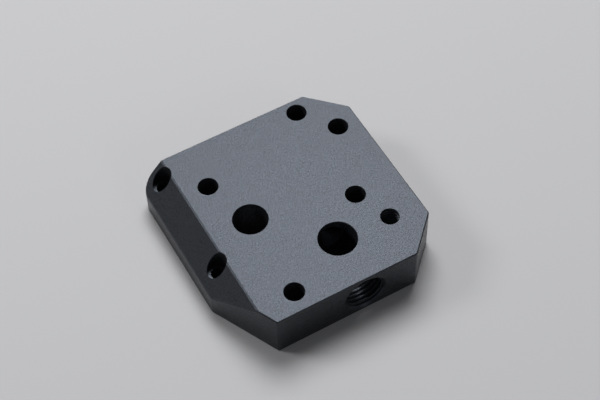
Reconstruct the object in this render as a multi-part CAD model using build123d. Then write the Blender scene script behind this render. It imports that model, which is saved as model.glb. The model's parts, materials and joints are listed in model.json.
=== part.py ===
from build123d import *
import math
import os

# A mounting block milled from one piece of aluminium plate: a square block with
# cut corners and one bevelled top edge, screw holes, and a threaded side port
# that runs into a blind passage drilled from above.
#
# Millimetres. The origin is the middle of the bottom face and +Z is up. The side
# port opens in the front face, towards -Y, and the bevel runs along the left
# face, which is the -X side.

# Block
block_length = 50.8  # left face to right face, along X
block_width = 50.8  # front face to back face, along Y
block_height = 12.0
edge_break = 0.25  # taken off every sharp outside edge, at 45 degrees

# Corners, seen from above
corner_cut = 8.0  # 45 degree cuts on the two right-hand corners
nose_cut_x = 8.0  # front left corner, what it takes off the front face
nose_cut_y = 16.0  # front left corner, what it takes off the left face
back_left_radius = 3.5

# Bevel along the left top edge
bevel_width = 5.8  # taken off the top face
bevel_drop = 6.2  # taken off the left face

# Each hole's place is the distance from its centre to the face that is named.
mouth_break = 0.1  # taken off the mouths of the upright holes

# Four stepped screw holes on a rectangle; the left two come up in the bevel
screw_left = 4.1
screw_right = 11.6
screw_front = 20.35
screw_back = 3.65
screw_head_diameter = 4.6
screw_head_depth = 5.3  # top face to the step that the head sits on
screw_shank_diameter = 3.0

# Two plain holes in a row between the screw holes, towards the back
pair_left = 11.7
pair_right = 5.3
pair_back = 12.0
pair_diameter = 4.6

# One plain hole near the front left corner
corner_hole_left = 14.9
corner_hole_front = 5.0
corner_hole_diameter = 4.6

# One tapped hole near the front right corner
tapped_right = 8.1
tapped_front = 11.35
tapped_diameter = 4.2  # tapping drill for M5

# Dowel bore
dowel_left = 15.7
dowel_front = 26.2
dowel_diameter = 8.0

# Side port, made for an M10 x 1 thread
port_right = 21.0
port_height = 6.0  # axis above the bottom face
port_diameter = 9.0  # tapping drill
port_mouth_diameter = 10.4  # 90 degree countersink in the front face
port_depth = 17.0  # front face to the end of the full diameter
port_point_angle = 118.0  # drill point at the end of the port

# Blind passage drilled from above, over the port's axis
passage_front = 12.1
passage_diameter = 8.8
passage_depth = 10.4  # top face to its flat floor

# Faces that follow from the sizes above
left_face = -block_length / 2
right_face = block_length / 2
front_face = -block_width / 2
back_face = block_width / 2
port_line = right_face - port_right  # the port and the passage share it

reach = 1.0  # how far a cutter stands clear of the face it enters
through = -reach  # where a through hole's cutter ends


def blank():
    """The block before drilling, with its corners cut and its bevel milled."""
    outline = Polyline(
        (left_face, front_face + nose_cut_y),
        (left_face + nose_cut_x, front_face),
        (right_face - corner_cut, front_face),
        (right_face, front_face + corner_cut),
        (right_face, back_face - corner_cut),
        (right_face - corner_cut, back_face),
        (left_face, back_face),
        close=True,
    )
    body = extrude(make_face(outline), block_height)
    upright = body.edges().filter_by(Axis.Z)
    back_left = upright.sort_by_distance((left_face, back_face, 0))[0]
    body = fillet(back_left, back_left_radius)

    # The bevel cutter's end section is a triangle on the bevel's own slope.
    slope = bevel_drop / bevel_width
    section = Polyline(
        (left_face - reach, block_height + reach),
        (left_face - reach, block_height - bevel_drop - reach * slope),
        (left_face + bevel_width + reach / slope, block_height + reach),
        close=True,
    )
    cutter = extrude(Plane.XZ * make_face(section), block_width, both=True)
    return body - cutter


def drill(x, y, diameter, floor):
    """An upright round cutter from above the block down to a flat floor."""
    length = block_height + reach - floor
    on_end = (Align.CENTER, Align.CENTER, Align.MIN)
    return Pos(x, y, floor) * Cylinder(diameter / 2, length, align=on_end)


def screw_hole(x, y):
    """A stepped through hole: a wide mouth for the head over the shank."""
    head = drill(x, y, screw_head_diameter, block_height - screw_head_depth)
    return head + drill(x, y, screw_shank_diameter, through)


def upright_holes():
    """Every cutter that enters through the top face or the bevel."""
    cutters = []
    for x in (left_face + screw_left, right_face - screw_right):
        for y in (front_face + screw_front, back_face - screw_back):
            cutters.append(screw_hole(x, y))
    for x in (left_face + pair_left, right_face - pair_right):
        cutters.append(drill(x, back_face - pair_back, pair_diameter, through))

    corner_x, corner_y = left_face + corner_hole_left, front_face + corner_hole_front
    cutters.append(drill(corner_x, corner_y, corner_hole_diameter, through))
    tapped_x, tapped_y = right_face - tapped_right, front_face + tapped_front
    cutters.append(drill(tapped_x, tapped_y, tapped_diameter, through))
    dowel_x, dowel_y = left_face + dowel_left, front_face + dowel_front
    cutters.append(drill(dowel_x, dowel_y, dowel_diameter, through))
    floor = block_height - passage_depth
    passage_y = front_face + passage_front
    cutters.append(drill(port_line, passage_y, passage_diameter, floor))
    return cutters


def side_port():
    """The port's cutter: countersink, tapping bore and drill point in one turn."""
    bore = port_diameter / 2
    mouth = port_mouth_diameter / 2
    point = bore / math.tan(math.radians(port_point_angle / 2))
    profile = Polyline(
        (0, -reach),
        (mouth + reach, -reach),
        (bore, mouth - bore),
        (bore, port_depth),
        (0, port_depth + point),
        close=True,
    )
    solid = revolve(make_face(profile), Axis.Y)
    return Pos(port_line, front_face, port_height) * solid


def outside_edges(body):
    """The blank's sharp edges: all but the two that end the rounded corner."""
    corner = body.faces().filter_by(GeomType.CYLINDER)[0]
    smooth = corner.edges().filter_by(Axis.Z)
    return [e for e in body.edges() if not any(e.is_same(s) for s in smooth)]


def mouth_edges(body):
    """The rims of the upright holes on the outside, and not their inner steps."""
    inside = (block_height - screw_head_depth, block_height - passage_depth)
    rims = []
    for wall in body.faces().filter_by(lambda face: face.is_circular_concave):
        for edge in wall.edges():
            level = edge.center().Z
            round_rim = edge.geom_type in (GeomType.CIRCLE, GeomType.ELLIPSE)
            if round_rim and not any(math.isclose(level, z) for z in inside):
                rims.append(edge)
    return rims


def mounting_block():
    """The finished block. The port comes last, through the broken edges."""
    body = blank()
    body = chamfer(outside_edges(body), edge_break)
    for cutter in upright_holes():
        body -= cutter
    return chamfer(mouth_edges(body), mouth_break) - side_port()


os.makedirs("parts", exist_ok=True)
export_step(mounting_block(), "parts/mounting_block.step")
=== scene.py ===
"""The machined mounting block, dressed on its CAD frame: finish, threads, stage."""

import json
import math

import bmesh
import bpy
from bpy.props import FloatProperty, FloatVectorProperty, PointerProperty
from bpy.types import Operator, Panel, PropertyGroup
from mathutils import Matrix, Vector


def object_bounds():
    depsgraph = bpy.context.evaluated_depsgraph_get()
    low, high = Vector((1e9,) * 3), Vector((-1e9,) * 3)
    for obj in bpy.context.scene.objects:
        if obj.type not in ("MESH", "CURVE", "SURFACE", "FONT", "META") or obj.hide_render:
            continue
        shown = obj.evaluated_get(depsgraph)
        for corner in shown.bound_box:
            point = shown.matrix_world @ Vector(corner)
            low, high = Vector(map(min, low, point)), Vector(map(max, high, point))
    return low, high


bl_info = {
    "name": "Machined Mounting Block",
    "version": (1, 0, 0),
    "blender": (4, 5, 0),
    "location": "3D View > Sidebar > Mounting Block",
    "description": "Finishes a milled mounting block, cuts its threads and lights it",
    "category": "Object",
}

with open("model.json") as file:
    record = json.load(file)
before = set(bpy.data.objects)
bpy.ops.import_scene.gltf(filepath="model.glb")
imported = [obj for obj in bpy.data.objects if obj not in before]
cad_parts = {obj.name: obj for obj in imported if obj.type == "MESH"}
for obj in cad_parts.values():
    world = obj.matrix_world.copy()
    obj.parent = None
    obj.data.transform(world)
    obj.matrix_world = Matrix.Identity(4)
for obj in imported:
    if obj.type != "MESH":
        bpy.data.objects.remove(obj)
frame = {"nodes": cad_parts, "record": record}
CAD_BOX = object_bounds()
BLOCK = frame["nodes"]["mounting_block"]
MOUNTS = {mount["name"]: mount for mount in frame["record"]["mounts"]}
MM = 0.001
SKY_COLOUR = (0.95, 0.97, 1.0, 1.0)
SENSOR_WIDTH = 36.0  # in millimetres
CLIP_START = 10 * MM

WELD_DISTANCE = 0.002 * MM
CORNER_ANGLE = math.radians(19.0)  # edges sharper than this stay crisp

# Surface texture
FRACTAL_DETAIL = 2.0
FRACTAL_ROUGHNESS = 0.6
DIMPLE_RANGE = (0.7, 1.3)  # most of the range of the two added noises
PIT_DARKNESS = 0.4  # colour in a pit, as a share of the oxide's
PIT_ROUGHNESS = 0.25  # added to the roughness in a pit


# Settings


class AnodisedFinish(PropertyGroup):
    """Bead-blasted, dark anodised aluminium."""

    colour: FloatVectorProperty(
        name="Colour",
        description="Dyed oxide, as seen away from the sheen",
        subtype="COLOR",
        size=4,
        min=0.0,
        max=1.0,
        default=(0.012, 0.013, 0.015, 1.0),
    )
    roughness: FloatProperty(
        name="Roughness",
        description="Spread of the sheen",
        subtype="FACTOR",
        min=0.0,
        max=1.0,
        default=0.36,
    )
    variation: FloatProperty(
        name="Variation",
        description="How much lighter the oxide is where it is thinnest",
        min=1.0,
        default=2.0,
    )
    spread: FloatProperty(
        name="Roughness spread",
        description="How far the dimples move the roughness either way",
        subtype="FACTOR",
        min=0.0,
        max=0.5,
        default=0.12,
    )
    gloss: FloatProperty(
        name="Gloss",
        description="Strength of the oxide's own reflection",
        subtype="FACTOR",
        min=0.0,
        max=1.0,
        default=0.4,
    )
    gloss_tint: FloatVectorProperty(
        name="Gloss tint",
        description="Cool tint of the sheen",
        subtype="COLOR",
        size=4,
        min=0.0,
        max=1.0,
        default=(0.75, 0.84, 1.0, 1.0),
    )
    grain: FloatProperty(
        name="Grain",
        description="Width of one blasted dimple",
        unit="LENGTH",
        default=0.2 * MM,
    )
    blotch: FloatProperty(
        name="Blotch",
        description="Width of one patch of the mottled oxide",
        unit="LENGTH",
        default=0.4 * MM,
    )
    grain_depth: FloatProperty(
        name="Grain depth",
        description="Depth of the blasted dimples",
        unit="LENGTH",
        default=0.03 * MM,
    )
    pit_spacing: FloatProperty(
        name="Pit spacing",
        description="Distance between the few pits in the oxide",
        unit="LENGTH",
        default=12.0 * MM,
    )
    pit_size: FloatProperty(
        name="Pit size",
        description="Radius of the largest pits",
        unit="LENGTH",
        default=0.2 * MM,
    )


class PortThread(PropertyGroup):
    """The fine thread in the side port."""

    pitch: FloatProperty(
        name="Pitch",
        description="Advance of the thread in one turn",
        unit="LENGTH",
        default=1.0 * MM,
    )
    root_diameter: FloatProperty(
        name="Root diameter",
        description="Widest diameter of the grooves",
        unit="LENGTH",
        default=10.0 * MM,
    )
    depth: FloatProperty(
        name="Depth",
        description="How far the thread runs in from the front face",
        unit="LENGTH",
        default=15.0 * MM,
    )


class TappedThread(PropertyGroup):
    """The thread in the tapped hole near the front right corner."""

    pitch: FloatProperty(
        name="Pitch",
        description="Advance of the thread in one turn",
        unit="LENGTH",
        default=0.8 * MM,
    )
    root_diameter: FloatProperty(
        name="Root diameter",
        description="Widest diameter of the grooves",
        unit="LENGTH",
        default=5.0 * MM,
    )


class StudioStage(PropertyGroup):
    """Floor, lights and camera."""

    floor_colour: FloatVectorProperty(
        name="Floor colour",
        description="Plain pale floor",
        subtype="COLOR",
        size=4,
        min=0.0,
        max=1.0,
        default=(0.45, 0.45, 0.46, 1.0),
    )
    floor_bounce: FloatVectorProperty(
        name="Floor bounce",
        description="Colour of the light that the floor throws back up",
        subtype="COLOR",
        size=4,
        min=0.0,
        max=1.0,
        default=(0.12, 0.12, 0.12, 1.0),
    )
    floor_size: FloatProperty(
        name="Floor size",
        description="Side of the square floor",
        unit="LENGTH",
        default=3.0,
    )
    sheen_power: FloatProperty(
        name="Sheen power",
        description="Power of the broad soft light that the top face mirrors",
        unit="POWER",
        default=8.8,
    )
    sheen_size: FloatProperty(
        name="Sheen size",
        description="Side of the broad soft light",
        unit="LENGTH",
        default=0.5,
    )
    sheen_azimuth: FloatProperty(
        name="Sheen azimuth",
        description="Direction of the broad light, clockwise from the back",
        subtype="ANGLE",
        default=math.radians(28.0),
    )
    sheen_elevation: FloatProperty(
        name="Sheen elevation",
        description="Height of the broad light above the horizon",
        subtype="ANGLE",
        default=math.radians(60.0),
    )
    key_power: FloatProperty(
        name="Key power",
        description="Power of the smaller light that casts the shadow",
        unit="POWER",
        default=2.4,
    )
    key_size: FloatProperty(
        name="Key size",
        description="Side of the smaller light",
        unit="LENGTH",
        default=0.25,
    )
    key_azimuth: FloatProperty(
        name="Key azimuth",
        description="Direction of the smaller light, clockwise from the back",
        subtype="ANGLE",
        default=math.radians(-50.0),
    )
    key_elevation: FloatProperty(
        name="Key elevation",
        description="Height of the smaller light above the horizon",
        subtype="ANGLE",
        default=math.radians(40.0),
    )
    edge_power: FloatProperty(
        name="Edge power",
        description="Power of the small light that picks out the front edges",
        unit="POWER",
        default=0.4,
    )
    edge_size: FloatProperty(
        name="Edge size",
        description="Side of the edge light",
        unit="LENGTH",
        default=0.22,
    )
    edge_azimuth: FloatProperty(
        name="Edge azimuth",
        description="Direction of the edge light, clockwise from the back",
        subtype="ANGLE",
        default=math.radians(162.0),
    )
    edge_elevation: FloatProperty(
        name="Edge elevation",
        description="Height of the edge light above the horizon",
        subtype="ANGLE",
        default=math.radians(30.0),
    )
    lamp_distance: FloatProperty(
        name="Lamp distance",
        description="Distance from the block to every light",
        unit="LENGTH",
        default=0.9,
    )
    sky_strength: FloatProperty(
        name="Sky strength",
        description="Even light from all round",
        min=0.0,
        default=0.12,
    )
    camera_azimuth: FloatProperty(
        name="Camera azimuth",
        description="Where the camera stands, clockwise from the front",
        subtype="ANGLE",
        default=math.radians(28.01),
    )
    camera_elevation: FloatProperty(
        name="Camera elevation",
        description="Camera height above the horizon",
        subtype="ANGLE",
        default=math.radians(54.96),
    )
    camera_roll: FloatProperty(
        name="Camera roll",
        description="Lean of the camera about its own line of sight",
        subtype="ANGLE",
        default=math.radians(-1.81),
    )
    camera_distance: FloatProperty(
        name="Camera distance",
        description="Camera to the point that it looks at",
        unit="LENGTH",
        default=342.8 * MM,
    )
    camera_aim: FloatVectorProperty(
        name="Camera aim",
        description="Point that the camera looks at",
        subtype="XYZ",
        unit="LENGTH",
        size=3,
        default=(4.3 * MM, 3.5 * MM, 6.0 * MM),
    )
    camera_lens: FloatProperty(
        name="Camera lens",
        description="Focal length in millimetres",
        default=90.4,
    )


# Node helpers


def node(tree, kind, inputs=None, **settings):
    """A new node with its settings, and its inputs given as values or sockets."""
    made = tree.nodes.new(kind)
    for key, value in settings.items():
        setattr(made, key, value)
    for key, value in (inputs or {}).items():
        if isinstance(value, bpy.types.NodeSocket):
            tree.links.new(value, made.inputs[key])
        else:
            made.inputs[key].default_value = value
    return made


def shader_tree(name):
    """A new material with an empty node tree."""
    material = bpy.data.materials.new(name)
    material.use_nodes = True
    material.node_tree.nodes.clear()
    return material, material.node_tree


def anodised_aluminium(look):
    """Dark oxide over a bead-blasted surface, with a few pits."""
    material, tree = shader_tree("anodised_blasted_aluminium")
    place = node(tree, "ShaderNodeTexCoord").outputs["Object"]
    grain = noise(tree, place, 1 / look.grain)
    blotch = noise(tree, place, 1 / look.blotch)
    dimples = node(
        tree,
        "ShaderNodeMath",
        {0: grain, 1: blotch},
        operation="ADD",
    ).outputs[0]
    pits = node(
        tree,
        "ShaderNodeTexVoronoi",
        {"Vector": place, "Scale": 1 / look.pit_spacing, "Randomness": 1.0},
    )
    pit_share = look.pit_size / look.pit_spacing
    pit_rim = (pit_share / 2, pit_share)
    whole = ramp(tree, pits.outputs["Distance"], pit_rim, (0.0, 1.0))

    thin = [min(1.0, channel * look.variation) for channel in look.colour[:3]] + [1.0]
    wear = ramp(tree, dimples, DIMPLE_RANGE, (0.0, 1.0))
    oxide = blend(tree, wear, look.colour, thin)
    deep = [channel * PIT_DARKNESS for channel in look.colour[:3]] + [1.0]
    colour = blend(tree, whole, deep, oxide)

    low, high = look.roughness - look.spread, look.roughness + look.spread
    satin = ramp(tree, dimples, DIMPLE_RANGE, (low, high))
    rough = node(
        tree,
        "ShaderNodeMath",
        {0: satin, 1: ramp(tree, whole, (0.0, 1.0), (PIT_ROUGHNESS, 0.0))},
        operation="ADD",
    ).outputs[0]
    bump = node(
        tree,
        "ShaderNodeBump",
        {"Height": dimples, "Strength": 1.0, "Distance": look.grain_depth},
    )
    skin = node(
        tree,
        "ShaderNodeBsdfPrincipled",
        {
            "Base Color": colour,
            "Roughness": rough,
            "Specular IOR Level": look.gloss,
            "Specular Tint": look.gloss_tint,
            "Normal": bump.outputs["Normal"],
        },
    )
    node(tree, "ShaderNodeOutputMaterial", {"Surface": skin.outputs["BSDF"]})
    return material


def noise(tree, place, scale):
    """The grey output of a noise texture."""
    made = node(
        tree,
        "ShaderNodeTexNoise",
        {
            "Vector": place,
            "Scale": scale,
            "Detail": FRACTAL_DETAIL,
            "Roughness": FRACTAL_ROUGHNESS,
        },
    )
    return made.outputs["Fac"]


def ramp(tree, value, source, target):
    """A value carried, and held, from one range to another."""
    made = node(
        tree,
        "ShaderNodeMapRange",
        {
            "Value": value,
            "From Min": source[0],
            "From Max": source[1],
            "To Min": target[0],
            "To Max": target[1],
        },
    )
    return made.outputs["Result"]


def blend(tree, share, first, second):
    """One colour going over into another as the share goes from 0 to 1."""
    mix = node(tree, "ShaderNodeMix", {"Factor": share}, data_type="RGBA")
    for letter, colour in (("A", first), ("B", second)):
        if isinstance(colour, bpy.types.NodeSocket):
            tree.links.new(colour, rgba_input(mix, letter))
        else:
            rgba_input(mix, letter).default_value = colour
    return [socket for socket in mix.outputs if socket.type == "RGBA"][0]


def rgba_input(mix, letter):
    """A colour input of a Mix node, past its inputs of the other types."""
    return [s for s in mix.inputs if s.name == letter and s.type == "RGBA"][0]


def floor_paint(stage):
    """A plain matt floor that looks pale but throws little light up."""
    material, tree = shader_tree("plain_floor")
    path = node(tree, "ShaderNodeLightPath")
    seen = node(
        tree,
        "ShaderNodeMath",
        {0: path.outputs["Is Camera Ray"], 1: path.outputs["Is Glossy Ray"]},
        operation="MAXIMUM",
    )
    seen = node(
        tree,
        "ShaderNodeMath",
        {0: seen.outputs[0], 1: path.outputs["Is Transmission Ray"]},
        operation="MAXIMUM",
    )
    colour = blend(tree, seen.outputs[0], stage.floor_bounce, stage.floor_colour)
    matt = node(tree, "ShaderNodeBsdfDiffuse", {"Color": colour})
    node(tree, "ShaderNodeOutputMaterial", {"Surface": matt.outputs["BSDF"]})
    return material


# Threads

TURN_STEPS = 64  # straight steps in one turn of a thread
CREST_FLAT = 0.125  # flat at the groove's root, as a share of the pitch
FLANK_SPREAD = math.tan(math.radians(30.0))  # half of the 60 degree thread form
CORE_HALF = 0.475  # half of a ridge's foot, as a share of the pitch
CORE_CLEARANCE = 0.05 * MM  # the core stays at least this far inside the wall
LEAD_IN = 1.5  # turns that stand outside the mouth
RUN_OUT = 1.5  # turns over which the ridges sink at the far end
FADE_IN = 1.0  # turns over which they rise at the mouth


def thread_tap(name, mouth, inward, pitch, root_radius, wall_radius, length, fade_in):
    """A screw-shaped cutter, like a tap, that starts outside the mouth.

    Its core is thinner than the drilled wall, so only its ridges cut. The ridges
    sink to the core over the last turns, and at the mouth if fade_in is set.
    """
    half_flat = CREST_FLAT / 2
    core_radius = root_radius - (CORE_HALF - half_flat) * pitch / FLANK_SPREAD
    core_radius = min(core_radius, wall_radius - CORE_CLEARANCE)
    profile = (
        (0.5 - CORE_HALF, 0.0),
        (0.5 - half_flat, 1.0),
        (0.5 + half_flat, 1.0),
        (0.5 + CORE_HALF, 0.0),
    )
    start = -LEAD_IN * pitch
    turns = math.ceil((length - start) / pitch) + 1
    rows = turns * len(profile)
    end = start + turns * pitch

    def ridge(z):
        out = min(1.0, max(0.0, (length - z) / (RUN_OUT * pitch)))
        into = 1.0
        if fade_in:
            into = min(1.0, max(0.0, z / (FADE_IN * pitch)))
        return out * into

    mesh = bmesh.new()
    columns = []
    for step in range(TURN_STEPS):
        angle = math.tau * step / TURN_STEPS
        column = []
        for row in range(rows + 1):
            turn, place = divmod(row, len(profile))
            share, height = profile[place]
            z = start + pitch * (step / TURN_STEPS + turn + share)
            radius = core_radius + (root_radius - core_radius) * height * ridge(z)
            across, along = radius * math.cos(angle), radius * math.sin(angle)
            column.append(mesh.verts.new((across, along, z)))
        columns.append(column)
    shift = len(profile)
    for step in range(TURN_STEPS):
        last = step == TURN_STEPS - 1
        here = columns[step]
        there = columns[0][shift:] if last else columns[step + 1]
        for row in range(min(len(here), len(there)) - 1):
            mesh.faces.new((here[row], there[row], there[row + 1], here[row + 1]))
    foot = mesh.verts.new((0.0, 0.0, start))
    head = mesh.verts.new((0.0, 0.0, end + pitch / 2))
    lower = [columns[0][row] for row in range(shift, 0, -1)]
    lower += [column[0] for column in columns]
    upper = [column[-1] for column in columns]
    upper += [columns[-1][-1 - row] for row in range(1, shift + 1)]
    for a, b in zip(lower, lower[1:] + lower[:1]):
        mesh.faces.new((foot, b, a))
    for a, b in zip(upper, upper[1:] + upper[:1]):
        if a is not b:
            mesh.faces.new((head, a, b))
    bmesh.ops.recalc_face_normals(mesh, faces=mesh.faces)
    turn = inward.to_track_quat("Z", "Y").to_matrix().to_4x4()
    mesh.transform(Matrix.Translation(mouth) @ turn)
    data = bpy.data.meshes.new(name)
    mesh.to_mesh(data)
    mesh.free()
    tap = bpy.data.objects.new(name, data)
    bpy.context.scene.collection.objects.link(tap)
    tap.hide_render = True
    tap.hide_viewport = True
    tap.display_type = "WIRE"
    return tap


def cut(target, tap):
    """Cuts a hidden tap out of the block with a live modifier."""
    modifier = target.modifiers.new("cut_" + tap.name, "BOOLEAN")
    modifier.operation = "DIFFERENCE"
    modifier.solver = "EXACT"
    modifier.object = tap


def mount_wall(mount_name):
    """Axis point, outward axis and wall radius of a round mount, in metres."""
    mount = MOUNTS[mount_name]
    radius = mount["dims"]["r_mm"] * MM
    return Vector(mount["pos_m"]), Vector(mount["axis"]), radius


# Operators


class MOUNTINGBLOCK_OT_port_thread(Operator):
    """Cut the fine thread in the side port"""

    bl_idname = "mountingblock.port_thread"
    bl_label = "Side Port Thread"

    def execute(self, context):
        thread = context.scene.port_thread
        point, axis, wall = mount_wall("side_port")
        face = CAD_BOX[0].y
        mouth = Vector((point.x, face, point.z))
        tap = thread_tap(
            "port_tap",
            mouth,
            -axis,
            thread.pitch,
            thread.root_diameter / 2,
            wall,
            thread.depth,
            False,
        )
        cut(BLOCK, tap)
        return {"FINISHED"}


class MOUNTINGBLOCK_OT_tapped_thread(Operator):
    """Cut the thread in the tapped hole"""

    bl_idname = "mountingblock.tapped_thread"
    bl_label = "Tapped Hole Thread"

    def execute(self, context):
        thread = context.scene.tapped_thread
        point, axis, wall = mount_wall("tapped_hole")
        mouth = Vector((point.x, point.y, CAD_BOX[1].z))
        height = CAD_BOX[1].z - CAD_BOX[0].z
        tap = thread_tap(
            "tapped_hole_tap",
            mouth,
            -axis,
            thread.pitch,
            thread.root_diameter / 2,
            wall,
            height,
            True,
        )
        cut(BLOCK, tap)
        return {"FINISHED"}


def close_mesh(target):
    """Joins the CAD mesh's split vertices, so that cutters find a closed solid."""
    weld = target.modifiers.new("weld", "WELD")
    weld.merge_threshold = WELD_DISTANCE


def machined_edges():
    """A node group that shades by edge angle: round walls smooth, corners crisp."""
    tree = bpy.data.node_groups.new("machined_edges", "GeometryNodeTree")
    for end in ("INPUT", "OUTPUT"):
        tree.interface.new_socket(
            "Geometry", in_out=end, socket_type="NodeSocketGeometry"
        )
    source = tree.nodes.new("NodeGroupInput").outputs["Geometry"]
    bare = node(
        tree,
        "GeometryNodeRemoveAttribute",
        {"Geometry": source, "Name": "custom_normal"},
    )
    smooth = node(
        tree,
        "GeometryNodeSetShadeSmooth",
        {"Geometry": bare.outputs["Geometry"], "Shade Smooth": True},
        domain="FACE",
    )
    angle = node(tree, "GeometryNodeInputMeshEdgeAngle")
    corner = node(
        tree,
        "FunctionNodeCompare",
        {0: angle.outputs["Unsigned Angle"], 1: CORNER_ANGLE},
        data_type="FLOAT",
        operation="GREATER_THAN",
    )
    crisp = node(
        tree,
        "GeometryNodeSetShadeSmooth",
        {
            "Geometry": smooth.outputs["Geometry"],
            "Selection": corner.outputs["Result"],
            "Shade Smooth": False,
        },
        domain="EDGE",
    )
    out = tree.nodes.new("NodeGroupOutput")
    tree.links.new(crisp.outputs["Geometry"], out.inputs["Geometry"])
    return tree


class MOUNTINGBLOCK_OT_finish(Operator):
    """Give the block its blasted, anodised finish"""

    bl_idname = "mountingblock.finish"
    bl_label = "Anodised Finish"

    def execute(self, context):
        shading = BLOCK.modifiers.new("machined_edges", "NODES")
        shading.node_group = machined_edges()
        material = anodised_aluminium(context.scene.anodised_finish)
        BLOCK.data.materials.clear()
        BLOCK.data.materials.append(material)
        return {"FINISHED"}


class MOUNTINGBLOCK_OT_weld(Operator):
    """Close the block's mesh, ready for cutting"""

    bl_idname = "mountingblock.weld"
    bl_label = "Close Mesh"

    def execute(self, context):
        close_mesh(BLOCK)
        return {"FINISHED"}


def seen_from(azimuth, elevation, distance):
    """An offset at a distance, azimuth clockwise from the back seen from above."""
    flat = distance * math.cos(elevation)
    return Vector(
        (
            flat * math.sin(azimuth),
            flat * math.cos(azimuth),
            distance * math.sin(elevation),
        )
    )


class MOUNTINGBLOCK_OT_stage(Operator):
    """Add the floor, the lights and the camera"""

    bl_idname = "mountingblock.stage"
    bl_label = "Studio Stage"

    def execute(self, context):
        stage = context.scene.studio_stage
        scene = context.scene
        scene.view_settings.view_transform = "Standard"
        self.lay_floor(scene, stage)
        for name in ("sheen", "key", "edge"):
            self.hang_lamp(scene, stage, name)
        self.light_sky(scene, stage)
        self.stand_camera(scene, stage)
        return {"FINISHED"}

    def lay_floor(self, scene, stage):
        half = stage.floor_size / 2
        corners = [
            (-half, -half, 0),
            (half, -half, 0),
            (half, half, 0),
            (-half, half, 0),
        ]
        data = bpy.data.meshes.new("floor")
        data.from_pydata(corners, [], [(0, 1, 2, 3)])
        data.materials.append(floor_paint(stage))
        floor = bpy.data.objects.new("floor", data)
        floor.location.z = CAD_BOX[0].z
        scene.collection.objects.link(floor)

    def hang_lamp(self, scene, stage, name):
        lamp = bpy.data.lights.new(name, "AREA")
        lamp.shape = "SQUARE"
        lamp.size = getattr(stage, name + "_size")
        lamp.energy = getattr(stage, name + "_power")
        away = seen_from(
            getattr(stage, name + "_azimuth"),
            getattr(stage, name + "_elevation"),
            stage.lamp_distance,
        )
        holder = bpy.data.objects.new(name, lamp)
        holder.location = away
        holder.rotation_euler = (-away).to_track_quat("-Z", "Y").to_euler()
        scene.collection.objects.link(holder)

    def light_sky(self, scene, stage):
        world = bpy.data.worlds.new("sky")
        world.use_nodes = True
        tree = world.node_tree
        tree.nodes.clear()
        glow = node(
            tree,
            "ShaderNodeBackground",
            {"Color": SKY_COLOUR, "Strength": stage.sky_strength},
        )
        node(tree, "ShaderNodeOutputWorld", {"Surface": glow.outputs["Background"]})
        scene.world = world

    def stand_camera(self, scene, stage):
        data = bpy.data.cameras.new("camera")
        data.lens = stage.camera_lens
        data.sensor_width = SENSOR_WIDTH
        data.clip_start = CLIP_START
        camera = bpy.data.objects.new("camera", data)
        aim = Vector(stage.camera_aim)
        away = seen_from(
            math.pi + stage.camera_azimuth, stage.camera_elevation, stage.camera_distance
        )
        turn = (-away).to_track_quat("-Z", "Y").to_matrix().to_4x4()
        roll = Matrix.Rotation(stage.camera_roll, 4, "Z")
        camera.matrix_world = Matrix.Translation(aim + away) @ turn @ roll
        scene.collection.objects.link(camera)
        scene.camera = camera


class MOUNTINGBLOCK_PT_sidebar(Panel):
    """The block's operators and settings"""

    bl_idname = "MOUNTINGBLOCK_PT_sidebar"
    bl_label = "Mounting Block"
    bl_space_type = "VIEW_3D"
    bl_region_type = "UI"
    bl_category = "Mounting Block"

    def draw(self, context):
        for operator, group in STEPS:
            box = self.layout.box()
            box.operator(operator)
            if group is None:
                continue
            settings = getattr(context.scene, group)
            for name in settings.bl_rna.properties.keys():
                if name not in ("rna_type", "name"):
                    box.prop(settings, name)


GROUPS = {
    "anodised_finish": AnodisedFinish,
    "port_thread": PortThread,
    "tapped_thread": TappedThread,
    "studio_stage": StudioStage,
}
STEPS = (
    ("mountingblock.weld", None),
    ("mountingblock.port_thread", "port_thread"),
    ("mountingblock.tapped_thread", "tapped_thread"),
    ("mountingblock.finish", "anodised_finish"),
    ("mountingblock.stage", "studio_stage"),
)
CLASSES = (
    *GROUPS.values(),
    MOUNTINGBLOCK_OT_weld,
    MOUNTINGBLOCK_OT_port_thread,
    MOUNTINGBLOCK_OT_tapped_thread,
    MOUNTINGBLOCK_OT_finish,
    MOUNTINGBLOCK_OT_stage,
    MOUNTINGBLOCK_PT_sidebar,
)


def register():
    for cls in CLASSES:
        bpy.utils.register_class(cls)
    for name, group in GROUPS.items():
        setattr(bpy.types.Scene, name, PointerProperty(type=group))


def unregister():
    for name in GROUPS:
        delattr(bpy.types.Scene, name)
    for cls in reversed(CLASSES):
        bpy.utils.unregister_class(cls)


def main():
    register()
    bpy.ops.mountingblock.weld()
    bpy.ops.mountingblock.port_thread()
    bpy.ops.mountingblock.tapped_thread()
    bpy.ops.mountingblock.finish()
    bpy.ops.mountingblock.stage()


if __name__ == "__main__":
    main()
